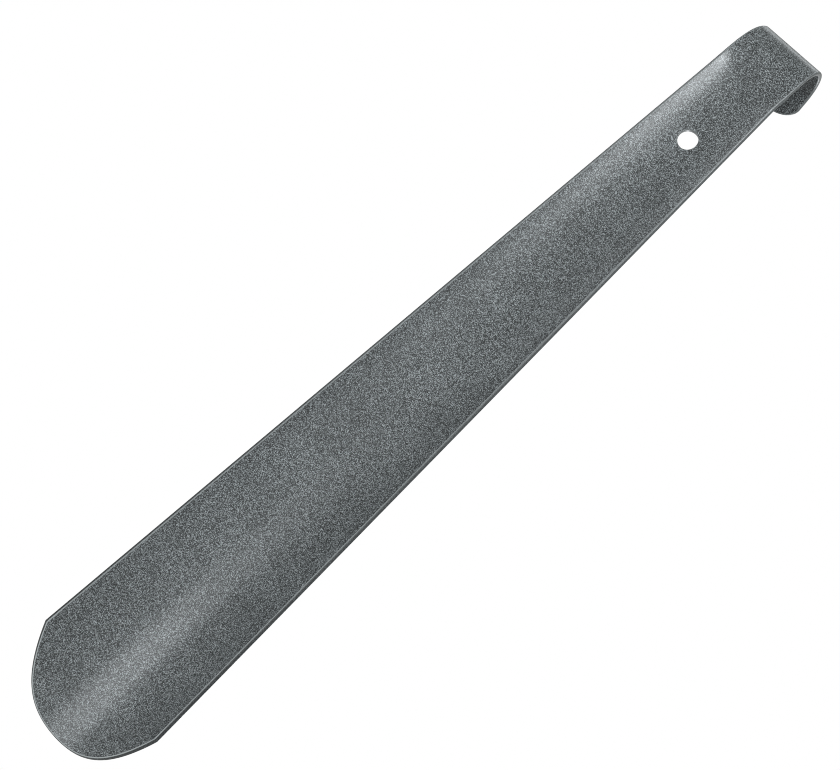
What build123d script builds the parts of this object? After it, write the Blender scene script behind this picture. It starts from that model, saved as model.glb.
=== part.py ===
from build123d import *
import os
from math import asin, cos, degrees, radians, sin

# Long shoehorn with a hanging hole and a hooked end, pressed from one strip of
# sheet steel.  Millimetres.  Own frame: origin at the centre of the hanging
# hole, half way through the sheet; +Z up along the handle towards the hook,
# +X across the width, -Y out of the hollow (the face the heel slides on), +Y
# out of the back, the side the hook curls to.

# ---- driving dimensions ----------------------------------------------------
overall_length = 300.0     # end of the blade to the crown of the hook
sheet_t = 1.5              # sheet thickness
half_t = sheet_t / 2

blade_width = 48.4         # across the shoulders, the widest place
half_blade = blade_width / 2
taper = 0.0469             # half-width lost per millimetre of handle
tip_depth = 20.8           # rounded blade end, shoulders to tip
tip_fullness = 0.58        # 0 a parabola, 1 squarer with steeper sides

hollow_blade = 8.95        # depth of the hollow at the shoulders
hollow_neck = 2.36         # depth the hollow would have at the start of the bend
fade_len = 14.0            # length over which the hollow flattens out
fade_past = 4.5            # how far that runs on round the start of the bend
flat_drop = 1.06           # the flat lies this far behind the rims of the hollow
flat_below = 0.02          # a hollow shallower than this is drawn flat

hole_d = 6.3               # hanging hole
hole_to_crown = 46.5       # hole centre to the crown of the hook
hole_turn = 0.4            # radians; turns the wall's seam off both planes of the frame

bend_lead_r = 17.8         # gentle lead-in bend, middle of the sheet
bend_lead_deg = 12.0
bend_r = 12.75             # the hook proper, middle of the sheet
bend_deg = 130.6
leg_len = 2.8              # straight length after the bend
leg_round = 6.35           # length of the rounded end of the hook
leg_fullness = 0.55        # reach of the rounded end's curve handles, as a share

rim_r = 0.5                # rounding of the cut edges down both sides and round the hook's end
end_r = 0.5                # and of the blade end
hole_r = 0.2               # rounding of the hole's two arrises

# Construction allowances
run_out = 6.0              # pressed hollow beyond the tip before trimming
blank_t = 3 * sheet_t      # hook blank, before it is cut to the sheet's two faces
fade_sections = 11         # loft sections where the hollow fades
trim_reach = 1.06          # the end curve runs to this multiple of the half-width
trim_side = 6.0            # trimming cutter beyond the shoulders
trim_drop = 40.0           # and below them
trim_half_depth = 30.0     # and to front and back
punch_half_depth = 5.0     # hole cutter to front and back

# ---- stations along the strip, s = 0 at the shoulders ----------------------
lead_angle = radians(bend_lead_deg)
end_angle = radians(bend_lead_deg + bend_deg)
crown_s = overall_length - tip_depth               # level with the crown
bend_s = crown_s - half_t - bend_lead_r * sin(lead_angle) - bend_r * (1 - sin(lead_angle))
hole_s = crown_s - hole_to_crown
flat_s = bend_s + fade_past                        # flat from here to the end
fade_s = flat_s - fade_len
run_out_s = -tip_depth - run_out
lead_s = bend_s + bend_lead_r * lead_angle         # end of the lead-in bend
leg_s = lead_s + bend_r * radians(bend_deg)
# close together at both ends of the fade
fade_stations = [fade_s + fade_len * (1 - cos(radians(180 * i / (fade_sections - 1)))) / 2
                 for i in range(fade_sections)]


def hollow_straight(s):
    """Depth the hollow would have at station s if it never flattened out."""
    return hollow_blade + (hollow_neck - hollow_blade) * s / bend_s


def keep(s):
    """1 in the full hollow, 0 where the strip has become flat."""
    share = min(max((flat_s - s) / fade_len, 0.0), 1.0)
    return share * share * (3 - 2 * share)


def hollow(s):
    """Depth of the finished hollow at station s."""
    return hollow_straight(s) * keep(s)


def half_width(s):
    """Half the width of the finished strip; flattening the hollow widens it."""
    tapered = half_blade - taper * s
    return tapered + 2 / 3 * (hollow_straight(s) ** 2 - hollow(s) ** 2) / tapered


flat_y = flat_drop - hollow(hole_s)                # Y of the flat's middle, below the bend


def along(s):
    """(y, z, lean) of the bend line, the middle of the flattened strip, at station s."""
    y, z, lean = flat_y, bend_s - hole_s, 0.0
    if s <= bend_s:
        return y, s - hole_s, lean
    for start, end, radius in ((bend_s, lead_s, bend_lead_r), (lead_s, leg_s, bend_r)):
        if s > start:
            turned = lean + (min(s, end) - start) / radius
            y += radius * (cos(lean) - cos(turned))
            z += radius * (sin(turned) - sin(lean))
            lean = turned
    return y, z, lean


def station(s):
    """Plane across the strip at station s, its y out of the back."""
    y, z, lean = along(s)
    return Plane(origin=(0, y, z), x_dir=(1, 0, 0), z_dir=(0, sin(lean), cos(lean)))


def across(s, side, behind):
    """The point at one rim (-1 or 1) or in the middle (0), this far behind the sheet's middle."""
    depth, rims = hollow(s), -flat_drop * keep(s)
    if depth < flat_below:
        return (side * half_width(s), rims + behind)
    half_chord = half_width(s) - half_t
    radius = (half_chord * half_chord + depth * depth) / (2 * depth)
    angle = side * (asin(half_chord / radius) + half_t / radius)
    return ((radius + behind) * sin(angle),
            rims + depth - radius + (radius + behind) * cos(angle))


def strip_outline(s):
    """Closed outline of the strip's cross-section at station s."""
    for face in (-half_t, half_t):
        if hollow(s) < flat_below:
            Line(across(s, -1, face), across(s, 1, face))
        else:
            ThreePointArc(across(s, -1, face), across(s, 0, face), across(s, 1, face))
    for side in (-1, 1):
        Line(across(s, side, -half_t), across(s, side, half_t))


def tip_poles():
    """Bezier poles (x, z) of the blade end, a quartic in t = x / half_blade:
    z = -hole_s - tip_depth * (1 - (1 - tip_fullness) * t**2 - tip_fullness * t**4)."""
    square_poles = (1, 0, -1 / 3, 0, 1)            # of t**2 for t from -1 to 1
    quartic_poles = (1, -1, 1, -1, 1)              # of t**4
    return [(half_blade * trim_reach * (i / 2 - 1),
             -hole_s - tip_depth * (1 - (1 - tip_fullness) * trim_reach ** 2 * square
                                    - tip_fullness * trim_reach ** 4 * quartic))
            for i, (square, quartic) in enumerate(zip(square_poles, quartic_poles))]


def is_skin(face):
    """True for the broad faces of the sheet, False for its narrow cut edges."""
    return 2 * face.area / sum(e.length for e in face.edges()) > 1.7 * sheet_t


with BuildPart() as shoehorn_body:
    # the hook, narrowing all the way round: a thick blank ...
    y, z, lean = along(flat_s)
    arc_size = -degrees(end_angle - lean)
    with BuildLine(Plane.YZ) as bend_path:
        JernArc(start=(y, z), tangent=(sin(lean), cos(lean)), radius=bend_r, arc_size=arc_size)
    for s in (flat_s, leg_s):
        with BuildSketch(station(s)):
            Rectangle(2 * half_width(s), blank_t)
    sweep(path=bend_path.line, multisection=True)
    # ... cut to true cylindrical faces
    with BuildSketch(Plane.YZ.offset(-half_blade)):
        with BuildLine():
            inner, outer = [JernArc(start=(y - v * cos(lean), z + v * sin(lean)),
                                    tangent=(sin(lean), cos(lean)), radius=bend_r + v,
                                    arc_size=arc_size) for v in (-half_t, half_t)]
            for i in (0, 1):
                Line(inner @ i, outer @ i)
        make_face()
    extrude(amount=blade_width, mode=Mode.INTERSECT)

    # straight end of the hook with its rounded outline, drawn on the back face
    root_half, end_half = half_width(leg_s), half_width(leg_s + leg_len)
    leg_end = leg_len + leg_round
    leg_back = Plane(origin=station(leg_s).origin, x_dir=(1, 0, 0),
                     z_dir=(0, -cos(end_angle), sin(end_angle))).offset(-half_t)
    with BuildSketch(leg_back):
        with BuildLine():
            Polyline((-end_half, leg_len), (-root_half, 0), (root_half, 0), (end_half, leg_len))
            for side in (-1, 1):
                Bezier((side * end_half, leg_len),
                       (side * (end_half - leg_fullness * leg_round * taper),
                        leg_len + leg_fullness * leg_round),
                       (side * leg_fullness * end_half, leg_end),
                       (0, leg_end))
        make_face()
    extrude(amount=sheet_t)

    # the hollow blade and handle with straight rims, the hollow getting shallower
    # towards the handle; then its run-out into the flat as the bend begins
    for stations, ruled in (((run_out_s, fade_s), True), (fade_stations, False)):
        for s in stations:
            with BuildSketch(station(s)):
                with BuildLine():
                    strip_outline(s)
                make_face()
        loft(ruled=ruled)

    # trim the blade end to its rounded outline
    with BuildSketch(Plane.XZ.offset(-trim_half_depth)):
        with BuildLine():
            end_curve = Bezier(*tip_poles())
            top = (end_curve @ 1).Y
            side_x, bottom = half_blade + trim_side, -hole_s - trim_drop
            Polyline(end_curve @ 1, (side_x, top), (side_x, bottom),
                     (-side_x, bottom), (-side_x, top), end_curve @ 0)
        make_face()
    extrude(amount=2 * trim_half_depth, mode=Mode.SUBTRACT)

    # round the two long arrises of the blade end
    end_wall = faces().sort_by(Axis.Z)[0]
    fillet(end_wall.edges().sort_by(SortBy.LENGTH)[-2:], radius=end_r)

    # round both sides and the hook's end: edges that border just one broad face;
    # the height limit, 8 above the shoulders, leaves out the blade end
    borders = [e.center() for f in faces().filter_by(is_skin) for e in f.edges()]
    arrises = edges().filter_by(
        lambda e: e.length > 2 and e.center().Z > 8 - hole_s
        and sum((e.center() - c).length < 0.02 for c in borders) == 1)
    fillet(arrises, radius=rim_r)

    # hanging hole, punched straight through the bottom of the hollow
    with BuildSketch(Plane(origin=(0, punch_half_depth, 0),
                           x_dir=(cos(hole_turn), 0, sin(hole_turn)), z_dir=(0, -1, 0))):
        Circle(hole_d / 2)
    extrude(amount=2 * punch_half_depth, mode=Mode.SUBTRACT)
    # its two rims are the only long edges that start this near the origin
    fillet(edges().filter_by(lambda e: e.length > 5 and (e @ 0).length < 4.5), radius=hole_r)

shoehorn_body.part.label = "shoehorn_body"

os.makedirs("parts", exist_ok=True)
export_step(shoehorn_body.part, "parts/shoehorn_body.step")
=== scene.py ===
"""Shoehorn bent from one strip of coated steel.

It hangs upright: the blade end is at the bottom, and the hook at the top bends over to the
back (+Y). The hollow of the blade faces the front (-Y). The origin is the middle of the sheet
at the centre of the hanging hole.
"""
import math
import bpy
import numpy as np
from mathutils import Matrix, Vector


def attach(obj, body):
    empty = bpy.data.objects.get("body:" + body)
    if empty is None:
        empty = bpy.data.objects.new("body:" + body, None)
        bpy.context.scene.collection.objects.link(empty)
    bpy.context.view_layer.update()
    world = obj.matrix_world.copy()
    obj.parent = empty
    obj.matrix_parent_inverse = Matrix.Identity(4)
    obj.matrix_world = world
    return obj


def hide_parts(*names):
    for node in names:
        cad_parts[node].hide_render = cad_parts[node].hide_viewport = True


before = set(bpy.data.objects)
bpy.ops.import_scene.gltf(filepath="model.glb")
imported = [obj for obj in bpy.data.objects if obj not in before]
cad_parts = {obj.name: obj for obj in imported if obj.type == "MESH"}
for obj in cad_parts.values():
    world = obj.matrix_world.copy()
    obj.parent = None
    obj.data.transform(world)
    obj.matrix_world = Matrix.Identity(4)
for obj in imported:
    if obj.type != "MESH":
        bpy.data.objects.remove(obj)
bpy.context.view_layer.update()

scene = bpy.context.scene

# ---------------------------------------------------------------- sizes, in millimetres
# "along" runs up the strip from the blade's shoulders to the end of the hook, "across" over
# its width, measured round its curve.
THICKNESS = 1.5
LENGTH = 300.0             # blade end to crown of the hook
BLADE_WIDTH = 48.4         # at the shoulders
TAPER = 0.0469             # half width lost per millimetre along
TIP_DEPTH = 20.8           # rounded blade end, below the shoulders
TIP_FULLNESS = 0.58        # fourth-power share of its curve; the rest is a parabola
HOLLOW_SHOULDER = 8.95     # depth of the hollow at the shoulders
HOLLOW_BEND = 2.36         # and at the start of the bend, if it did not fade
EDGE_FORWARD = 1.06        # side edges of the hollow part, in front of the flat part
FADE_LENGTH = 14.0         # over which the hollow flattens out
FADE_PAST_BEND = 4.5       # the fade ends this far past the start of the bend
HOLE_RADIUS = 3.15
HOLE_TO_CROWN = 46.5
LEAD_RADIUS, LEAD_ANGLE = 17.8, math.radians(12.0)      # gentle first bend
HOOK_RADIUS, HOOK_ANGLE = 12.75, math.radians(142.6)    # hook, with its final lean
LEG_LENGTH = 2.8           # straight sides after the hook
LEG_ROUND = 6.35           # depth of the rounded end beyond them
EDGE_RADIUS, HOLE_EDGE_RADIUS = 0.55, 0.2

# Mesh
COLUMNS = 56
SIDE_CROWDING = 0.3        # least share of sine spacing, which packs columns to the sides
TIP_BLEND = 55.0           # rows carry the blade end's curve this far up
LEG_BLEND = 9.0            # rows take on the hook end's curve this far before the leg
WINDOW_HALF_HEIGHT, WINDOW_HALF_WIDTH = 6.8, 6.6    # part of the grid given to the hole's rings
HOLE_RINGS = 9
RING_POWER = 1.25          # above 1 the rings crowd towards the hole
EDGE_STEPS, HOLE_EDGE_STEPS = 5, 4                  # per quarter round

# Stations along the strip
CROWN_AT = LENGTH - TIP_DEPTH
BEND_AT = (CROWN_AT - THICKNESS / 2 - LEAD_RADIUS * math.sin(LEAD_ANGLE)
           - HOOK_RADIUS * (1 - math.sin(LEAD_ANGLE)))
HOLE_AT = CROWN_AT - HOLE_TO_CROWN
FLAT_AT = BEND_AT + FADE_PAST_BEND
FADE_AT = FLAT_AT - FADE_LENGTH
HOOK_AT = BEND_AT + LEAD_RADIUS * LEAD_ANGLE
LEG_AT = HOOK_AT + HOOK_RADIUS * (HOOK_ANGLE - LEAD_ANGLE)
SIDE_END = LEG_AT + LEG_LENGTH


# ---------------------------------------------------------------- shape of the sheet
def unfaded_hollow(along):
    return HOLLOW_SHOULDER + (HOLLOW_BEND - HOLLOW_SHOULDER) * along / BEND_AT


def fade(along):
    """1 in the hollow part, easing to 0 in the flat part."""
    part = np.clip((FLAT_AT - along) / FADE_LENGTH, 0, 1)
    return part * part * (3 - 2 * part)


def hollow(along):
    return unfaded_hollow(along) * fade(along)


def half_chord(along):
    """Half the straight width, with what it gains as the curve flattens out."""
    plain = BLADE_WIDTH / 2 - TAPER * along
    return plain + 2 / 3 * (unfaded_hollow(along) ** 2 - hollow(along) ** 2) / plain


def curvature(along):
    chord, depth = half_chord(along) - THICKNESS / 2, hollow(along)
    return 2 * depth / (chord * chord + depth * depth)


def half_arc(along):
    """Half the width round the curve."""
    chord = half_chord(along) - THICKNESS / 2
    curve = np.maximum(curvature(along), 1e-7)
    return np.arcsin(np.clip(chord * curve, 0, 0.9999)) / curve + THICKNESS / 2


# y and z where the flat line, the hook and the leg start
FLAT_Y = EDGE_FORWARD - float(hollow(HOLE_AT))
BEND_Z = BEND_AT - HOLE_AT
HOOK_Y = FLAT_Y + LEAD_RADIUS * (1 - math.cos(LEAD_ANGLE))
HOOK_Z = BEND_Z + LEAD_RADIUS * math.sin(LEAD_ANGLE)
LEG_Y = HOOK_Y + HOOK_RADIUS * (math.cos(LEAD_ANGLE) - math.cos(HOOK_ANGLE))
LEG_Z = HOOK_Z + HOOK_RADIUS * (math.sin(HOOK_ANGLE) - math.sin(LEAD_ANGLE))


def bend_line(along):
    """y, z and lean of the line that the strip follows, seen from the side."""
    lean = np.where(along < HOOK_AT,
                    np.clip((along - BEND_AT) / LEAD_RADIUS, 0, None),
                    LEAD_ANGLE + (np.minimum(along, LEG_AT) - HOOK_AT) / HOOK_RADIUS)
    spans = [along <= BEND_AT, along <= HOOK_AT, along <= LEG_AT]
    y = np.select(spans,
                  [FLAT_Y + 0 * along,
                   FLAT_Y + LEAD_RADIUS * (1 - np.cos(lean)),
                   HOOK_Y + HOOK_RADIUS * (math.cos(LEAD_ANGLE) - np.cos(lean))],
                  LEG_Y + math.sin(HOOK_ANGLE) * (along - LEG_AT))
    z = np.select(spans,
                  [along - HOLE_AT,
                   BEND_Z + LEAD_RADIUS * np.sin(lean),
                   HOOK_Z + HOOK_RADIUS * (np.sin(lean) - math.sin(LEAD_ANGLE))],
                  LEG_Z + math.cos(HOOK_ANGLE) * (along - LEG_AT))
    return y, z, lean


def sheet_middle(across, along):
    """Points halfway through the sheet."""
    across, along = np.broadcast_arrays(np.asarray(across, float), np.asarray(along, float))
    curve = np.maximum(curvature(along), 1e-7)
    y, z, lean = bend_line(along)
    backward = hollow(along) - EDGE_FORWARD * fade(along) - (1 - np.cos(curve * across)) / curve
    return np.stack([np.sin(curve * across) / curve,
                     y + backward * np.cos(lean),
                     z - backward * np.sin(lean)], -1)


def unit(vectors):
    return vectors / np.maximum(np.linalg.norm(vectors, axis=-1, keepdims=True), 1e-12)


def sheet_normal(across, along, step=0.02):
    """Unit normal out of the hollow side."""
    over = sheet_middle(across + step, along) - sheet_middle(across - step, along)
    up = sheet_middle(across, along + step) - sheet_middle(across, along - step)
    return unit(np.cross(over, up))


# ---------------------------------------------------------------- flat grid
def blade_end():
    """Across and along of half the blade end, pulled in by the edge radius, to the corner."""
    share = np.linspace(0, 1.04, 600)
    along = -TIP_DEPTH * (1 - (1 - TIP_FULLNESS) * share ** 2 - TIP_FULLNESS * share ** 4)
    curve = curvature(along)
    across = np.arcsin(np.clip(BLADE_WIDTH / 2 * share * curve, 0, 0.99)) / curve
    slope = np.gradient(along, across)
    stretch = np.sqrt(1 + slope * slope)
    across = across - EDGE_RADIUS * slope / stretch
    along = along + EDGE_RADIUS / stretch
    corner = int(np.argmax(across > half_arc(along) - EDGE_RADIUS))
    return across[:corner + 1], along[:corner + 1]


def ease(part):
    part = np.clip(part, 0, 1)
    return part * part * part * (part * (6 * part - 15) + 10)


def strip_rows(corner_along):
    """Where the grid's rows meet the sides."""
    spans = [                                   # from, to, number of rows
        (corner_along, corner_along + 12, 12),
        (corner_along + 12, FADE_AT - 8, 129),
        (FADE_AT - 8, FLAT_AT, 38),
        (FLAT_AT, LEG_AT, 55),
        (LEG_AT, SIDE_END, 6)]
    return np.concatenate([np.linspace(*span, endpoint=False) for span in spans] + [[SIDE_END]])


def grid_points(rows, end_across, end_along):
    """Across and along of every grid point; the end rows follow the rounded ends."""
    tip_share = 1 - ease((rows - rows[0]) / TIP_BLEND)
    leg_share = ease((rows - (LEG_AT - LEG_BLEND)) / (SIDE_END - LEG_AT + LEG_BLEND))
    crowding = np.maximum(SIDE_CROWDING, leg_share)[:, None]
    even = np.linspace(-1, 1, COLUMNS + 1)
    side = (1 - crowding) * even[None] + crowding * np.sin(even * math.pi / 2)[None]
    across = side * (half_arc(rows) - EDGE_RADIUS)[:, None]
    tip_shift = np.interp(np.abs(side[0] * end_across[-1]), end_across, end_along) - rows[0]
    leg_shift = (LEG_ROUND - EDGE_RADIUS) * np.sqrt(np.maximum(1 - side[-1] ** 2, 0))
    along = (rows[:, None] + tip_shift[None] * tip_share[:, None]
             + leg_shift[None] * leg_share[:, None])
    return across, along


def boundary(ids, bottom, top, left, right):
    """Grid points round a block of cells, with the block to their left."""
    return ([ids[bottom, j] for j in range(left, right)]
            + [ids[i, right] for i in range(bottom, top)]
            + [ids[top, j] for j in range(right, left, -1)]
            + [ids[i, left] for i in range(top, bottom, -1)])


def flat_grid():
    """Points (across, along), quads, outer loop and hole loop of the strip laid out flat."""
    end_across, end_along = blade_end()
    rows = strip_rows(float(end_along[-1]))
    across, along = grid_points(rows, end_across, end_along)
    ids = np.arange(across.size).reshape(across.shape)
    points = [np.stack([across.ravel(), along.ravel()], 1)]

    # Window in the grid round the hole
    row, column = int(np.argmin(np.abs(rows - HOLE_AT))), COLUMNS // 2
    tall = int(round(WINDOW_HALF_HEIGHT / (rows[row + 1] - rows[row])))
    wide = int(round(WINDOW_HALF_WIDTH / (across[row, column + 1] - across[row, column])))
    bottom, top, left, right = row - tall, row + tall, column - wide, column + wide
    quads = [(ids[i, j], ids[i, j + 1], ids[i + 1, j + 1], ids[i + 1, j])
             for i in range(len(rows) - 1) for j in range(COLUMNS)
             if not (bottom <= i < top and left <= j < right)]

    # Rings from the window in to the hole
    previous = boundary(ids, bottom, top, left, right)
    centre = np.array([0.0, HOLE_AT])
    window = points[0][previous] - centre
    angle = np.arctan2(window[:, 1], window[:, 0])
    circle = (HOLE_RADIUS + HOLE_EDGE_RADIUS) * np.stack([np.cos(angle), np.sin(angle)], 1)
    size, first = len(previous), across.size
    for ring in range(1, HOLE_RINGS + 1):
        outward = (1 - ring / HOLE_RINGS) ** RING_POWER
        points.append(circle + (window - circle) * outward + centre)
        current = list(range(first, first + size))
        first += size
        for i in range(size):
            j = (i + 1) % size
            quads.append((previous[i], previous[j], current[j], current[i]))
        previous = current
    outer = boundary(ids, 0, len(rows) - 1, 0, COLUMNS)

    # Drop the grid points left inside the window
    points, quads = np.concatenate(points), np.array(quads)
    used = np.zeros(len(points), bool)
    used[np.unique(quads)] = True
    renumber = np.cumsum(used) - 1
    return points[used], renumber[quads], renumber[outer], renumber[previous[::-1]]


# ---------------------------------------------------------------- solid strip
class Shell:
    """Front and back faces of the sheet, to be joined by rounded edges."""

    def __init__(self, middle, normal, quads):
        self.middle, self.normal = middle, normal
        half, size = normal * THICKNESS / 2, len(middle)
        self.verts = [middle + half, middle - half]
        self.normals = [normal, -normal]
        self.angles = [np.zeros(size), np.full(size, math.pi)]
        self.faces = [quads, quads[:, ::-1] + size]
        self.count = 2 * size

    def bridge(self, last, current):
        self.faces.append(np.stack([np.roll(last, -1), last, current, np.roll(current, -1)], 1))

    def round_edge(self, loop, radius, steps):
        """Edge from front to back along a closed loop; the sheet lies to its left."""
        middle, normal = self.middle[loop], self.normal[loop]
        forward = unit(np.roll(middle, -1, 0) - middle) + unit(middle - np.roll(middle, 1, 0))
        outward = unit(np.cross(forward, normal))
        quarter = math.pi / 2
        offset = THICKNESS / 2 - radius
        profile = [(offset, angle) for angle in np.linspace(0, quarter, steps + 1)[1:]]
        profile += [(-offset, angle) for angle in np.linspace(quarter, math.pi, steps + 1)[:-1]]
        last = loop
        for shift, angle in profile:
            facing = math.cos(angle) * normal + math.sin(angle) * outward
            self.verts.append(middle + normal * shift + radius * facing)
            self.normals.append(facing)
            self.angles.append(np.full(len(loop), angle))
            current = np.arange(self.count, self.count + len(loop))
            self.count += len(loop)
            self.bridge(last, current)
            last = current
        self.bridge(last, loop + len(self.middle))


def build_strip():
    points, quads, outer, hole = flat_grid()
    across, along = points.T
    shell = Shell(sheet_middle(across, along), sheet_normal(across, along), quads)
    shell.round_edge(outer, EDGE_RADIUS, EDGE_STEPS)
    shell.round_edge(hole, HOLE_EDGE_RADIUS, HOLE_EDGE_STEPS)

    mesh = bpy.data.meshes.new("shoehorn_strip")
    metres = np.concatenate(shell.verts) / 1000.0
    mesh.from_pydata(metres.tolist(), [], np.concatenate(shell.faces).tolist())
    mesh.validate()
    mesh.shade_smooth()
    mesh.normals_split_custom_set_from_vertices([tuple(n) for n in np.concatenate(shell.normals)])
    # Turn round the cut edge, 0 on the front to pi on the back, read by the material
    turn = mesh.attributes.new("round_a", "FLOAT", "POINT")
    turn.data.foreach_set("value", np.concatenate(shell.angles))
    mesh.update()
    strip = bpy.data.objects.new("shoehorn_strip", mesh)
    scene.collection.objects.link(strip)
    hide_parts("shoehorn_body")
    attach(strip, "root")
    return strip


# ---------------------------------------------------------------- materials
class Nodes:
    """Builds the node tree of a material or world."""

    def __init__(self, owner):
        owner.use_nodes = True
        self.tree = owner.node_tree
        self.tree.nodes.clear()

    def add(self, kind, inputs, **settings):
        node = self.tree.nodes.new("ShaderNode" + kind)
        for key, value in settings.items():
            setattr(node, key, value)
        for key, value in inputs.items():
            if isinstance(value, bpy.types.NodeSocket):
                self.tree.links.new(value, node.inputs[key])
            else:
                node.inputs[key].default_value = value
        return node

    def math(self, operation, *values):
        return self.add("Math", dict(enumerate(values)), operation=operation).outputs[0]

    def linear(self, value, gain, offset):
        return self.math("MULTIPLY_ADD", value, gain, offset)

    def vector(self, operation, inputs):
        return self.add("VectorMath", inputs, operation=operation).outputs[0]

    def remap(self, value, source, target=(0.0, 1.0), interpolation="SMOOTHSTEP"):
        inputs = {"Value": value, "From Min": source[0], "From Max": source[1],
                  "To Min": target[0], "To Max": target[1]}
        return self.add("MapRange", inputs, interpolation_type=interpolation).outputs[0]

    def mix(self, factor, first, second, blend="MIX"):
        inputs = {0: factor, 6: first, 7: second}    # 6, 7 and output 2 are the colour sockets
        return self.add("Mix", inputs, data_type="RGBA", blend_type=blend).outputs[2]

    def noise(self, place, scale, detail, roughness=0.5):
        return self.add("TexNoise", {"Vector": place, "Scale": scale, "Detail": detail,
                                     "Roughness": roughness}).outputs["Fac"]

    def cells(self, place, scale):
        inputs = {"Vector": place, "Scale": scale, "Randomness": 1.0}
        return self.add("TexVoronoi", inputs, feature="F1").outputs["Color"]


def powder_coat():
    """Dark grey metallic powder coat: fine flake and a little relief under a smooth film, with a
    painted highlight on the arris and painted shade on the cut wall.
    """
    material = bpy.data.materials.new("coated_steel_flake")
    nodes = Nodes(material)
    place = nodes.add("TexCoord", {}).outputs["Object"]
    height = nodes.add("SeparateXYZ", {0: place}).outputs[2]

    # Zones of the cut edge: wall is 0 on either face and 1 halfway through the sheet
    turn = nodes.add("Attribute", {}, attribute_name="round_a").outputs["Fac"]
    wall = nodes.math("SINE", turn)
    edge = nodes.remap(wall, source=(0.05, 0.5))
    upward = (-0.22, 0.03)      # heights from the blade to above the hole
    # Painted shade on the cut wall, which faces away from the lamps; weaker towards the hook
    painted_wall_shade = nodes.math("MULTIPLY", nodes.remap(wall, source=(0.52, 0.82)),
                     nodes.remap(height, source=upward, target=(1.0, 0.25),
                                 interpolation="LINEAR"))
    arris = nodes.math("MULTIPLY", nodes.remap(wall, source=(0.04, 0.20)),
                       nodes.math("SUBTRACT", 1.0, painted_wall_shade))

    # Flakes 0.2 mm and 0.12 mm across, each with its own tone
    coarse = nodes.cells(place, scale=5000.0)
    fine = nodes.cells(place, scale=8200.0)
    coarse_parts = nodes.add("SeparateColor", {0: coarse}).outputs
    fine_parts = nodes.add("SeparateColor", {0: fine}).outputs
    tone = nodes.math("ADD", nodes.math("MULTIPLY", coarse_parts[0], 0.63),
                      nodes.math("MULTIPLY", fine_parts[0], 0.37))
    # Broad, faint unevenness of the coat
    cloud = nodes.noise(place, scale=55.0, detail=3.0, roughness=0.55)
    tone = nodes.math("ADD", tone, nodes.linear(cloud, gain=0.16, offset=-0.08))
    # The film lies smoother over the cut edge
    contrast = nodes.linear(edge, gain=-0.6, offset=1.0)
    tone = nodes.math("ADD", nodes.math("MULTIPLY", tone, contrast),
                      nodes.math("MULTIPLY", edge, 0.3))
    ramp = nodes.add("ValToRGB", {0: tone})
    stops = ramp.color_ramp.elements
    stops[0].position, stops[0].color = 0.17, (0.006, 0.0066, 0.0068, 1)
    stops[1].position, stops[1].color = 0.92, (0.370, 0.397, 0.408, 1)
    stops.new(0.54).color = (0.050, 0.0540, 0.0552, 1)

    # Painted highlight on the arris, the lit rounding of the edge, strongest round the blade end
    low = nodes.remap(height, source=(-0.222, -0.240))
    painted_arris_highlight = nodes.remap(height, source=upward, target=(0.53, 0.36), interpolation="LINEAR")
    painted_arris_highlight = nodes.math("MULTIPLY", arris, nodes.linear(low, gain=0.42, offset=painted_arris_highlight))
    color = nodes.mix(painted_arris_highlight, ramp.outputs[0], (0.335, 0.352, 0.355, 1))
    # Painted shade: the cut wall darkened
    color = nodes.mix(painted_wall_shade, color, (0.60, 0.60, 0.60, 1), blend="MULTIPLY")

    # Tilt of each flake, less on the edge, and the coat's faint relief
    tilt = nodes.vector("SUBTRACT", {0: coarse, 1: (0.5, 0.5, 0.5)})
    tilt = nodes.vector("SCALE", {0: tilt, 3: nodes.linear(edge, gain=-0.09, offset=0.12)})
    relief = nodes.noise(place, scale=1900.0, detail=2.0, roughness=0.6)
    bump = nodes.add("Bump", {"Strength": 0.16, "Distance": 0.0001, "Height": relief})
    normal = nodes.vector("ADD", {0: bump.outputs[0], 1: tilt})
    surface = nodes.add("BsdfPrincipled", {
        "Base Color": color,
        "Metallic": 0.05,
        "Roughness": nodes.linear(fine_parts[1], gain=0.12, offset=0.42),
        "Normal": nodes.vector("NORMALIZE", {0: normal}),
        "IOR": 1.5,
        "Specular IOR Level": 0.3,
        "Coat Weight": 0.5,
        "Coat Roughness": 0.24,
        "Coat IOR": 1.5})
    nodes.add("OutputMaterial", {"Surface": surface.outputs[0]})
    return material


def floor_paint():
    """Matt, faintly uneven off-white."""
    material = bpy.data.materials.new("studio_floor")
    nodes = Nodes(material)
    place = nodes.add("TexCoord", {}).outputs["Object"]
    grey = nodes.linear(nodes.noise(place, scale=14.0, detail=3.0), gain=0.02, offset=0.91)
    color = nodes.add("CombineColor", {0: grey, 1: grey, 2: grey}).outputs[0]
    surface = nodes.add("BsdfPrincipled", {"Base Color": color, "Roughness": 0.9})
    nodes.add("OutputMaterial", {"Surface": surface.outputs[0]})
    return material


# ---------------------------------------------------------------- set, in metres
def build_floor(radius=0.40, z=-0.300, sides=96):
    """Disc below the blade end."""
    material = floor_paint()
    turns = [2 * math.pi * i / sides for i in range(sides)]
    verts = [(0, 0, z)] + [(radius * math.cos(a), radius * math.sin(a), z) for a in turns]
    faces = [(0, 1 + i, 1 + (i + 1) % sides) for i in range(sides)]
    mesh = bpy.data.meshes.new("floor")
    mesh.from_pydata(verts, [], faces)
    mesh.materials.append(material)
    disc = bpy.data.objects.new("floor", mesh)
    scene.collection.objects.link(disc)


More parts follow.
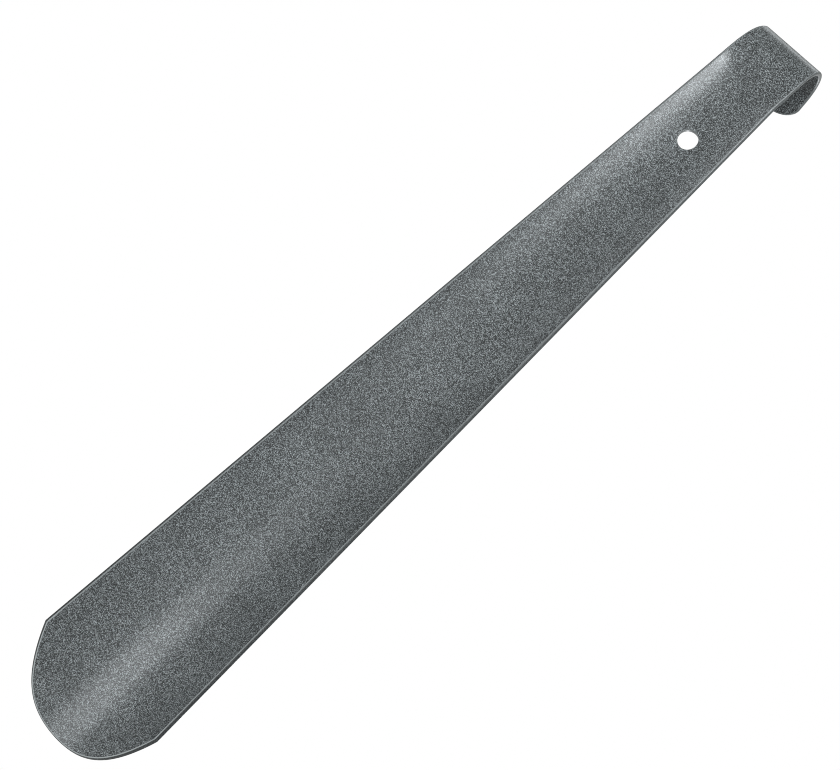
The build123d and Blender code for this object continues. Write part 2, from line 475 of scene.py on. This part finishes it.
def build_world():
    """White for the camera; for everything else a soft tent, brighter in front."""
    world = bpy.data.worlds.new("studio")
    scene.world = world
    nodes = Nodes(world)
    direction = nodes.add("TexCoord", {}).outputs["Generated"]
    axes = nodes.add("SeparateXYZ", {0: direction}).outputs
    front = nodes.remap(axes[1], source=(-0.9, 0.5), target=(0.56, 0.19))
    behind = nodes.remap(axes[1], source=(0.6, 0.95), target=(0.0, 0.6))
    glow = nodes.math("ADD", front, behind)
    # Dimmer and a little greener overhead
    high = nodes.remap(axes[2], source=(0.1, 0.9))
    glow = nodes.math("MULTIPLY", glow, nodes.linear(high, gain=-0.5, offset=1.0))
    hue = nodes.mix(high, (0.965, 0.99, 1.0, 1), (0.975, 1.0, 0.90, 1))
    tent = nodes.add("Background", {0: hue, 1: glow})
    white = nodes.add("Background", {0: (1, 1, 1, 1), 1: 1.0})
    seen = nodes.add("LightPath", {}).outputs["Is Camera Ray"]
    pick = nodes.add("MixShader", {0: seen, 1: tent.outputs[0], 2: white.outputs[0]})
    nodes.add("OutputWorld", {0: pick.outputs[0]})


def add_placed(name, data, place, turn):
    thing = bpy.data.objects.new(name, data)
    scene.collection.objects.link(thing)
    thing.matrix_world = Matrix.Translation(place) @ turn.to_4x4()
    return thing


def soft_box(name, toward, aim, distance, size, power, width_along=None):
    """Area light seen from aim in the direction toward, its width lying along width_along."""
    light = bpy.data.lights.new(name, "AREA")
    light.shape = "RECTANGLE"
    light.size, light.size_y = size
    light.energy = power
    light.color = (0.93, 0.975, 1.0)
    toward = Vector(toward).normalized()
    if width_along is None:
        turn = (-toward).to_track_quat("-Z", "Y").to_matrix()
    else:
        upright = toward.cross(Vector(width_along)).normalized()
        turn = Matrix((upright.cross(toward), upright, toward)).transposed()
    add_placed(name, light, Vector(aim) + toward * distance, turn)


def build_lights():
    soft_box("handle_light", toward=(0.385, -0.718, 0.368), aim=(0, 0, 0.0), distance=0.9,
             size=(0.36, 0.27), power=6.6, width_along=(0.874, 0.355, -0.331))
    soft_box("blade_light", toward=(-0.33, -0.94, 0.0), aim=(0, 0, -0.30), distance=0.9,
             size=(0.50, 0.14), power=2.05)
    soft_box("left_light", toward=(-0.88, -0.37, 0.286), aim=(0, 0, 0.0), distance=0.8,
             size=(0.25, 0.35), power=0.35)
    soft_box("back_light", toward=(0.42, 0.86, -0.28), aim=(0, 0, -0.10), distance=0.9,
             size=(0.50, 0.50), power=4.2)
    soft_box("top_light", toward=(-0.29, 0.50, 0.80), aim=(0, 0, 0.03), distance=0.6,
             size=(0.30, 0.15), power=0.3)


def build_camera():
    """Long lens low in front, rolled so that the strip lies diagonally."""
    place = Vector((0.20882706, -0.68527550, -0.22148680))
    right = Vector((0.68321076, 0.09001541, 0.72457661))
    up = Vector((-0.67047963, -0.31556183, 0.67140064))
    data = bpy.data.cameras.new("camera")
    data.sensor_width = 36.0
    data.lens = 107.157857
    data.clip_start, data.clip_end = 0.01, 20.0
    turn = Matrix((right, up, right.cross(up))).transposed()
    scene.camera = add_placed("camera", data, place, turn)


strip = build_strip()
strip.data.materials.append(powder_coat())
build_floor()
build_world()
build_lights()
build_camera()

scene.cycles.filter_width = 1.0
scene.cycles.denoising_prefilter = "NONE"      # keeps the flake, which would otherwise smear
scene.view_settings.view_transform = "Standard"
scene.view_settings.look = "None"
scene.view_settings.exposure = 0.0
scene.view_settings.gamma = 1.0
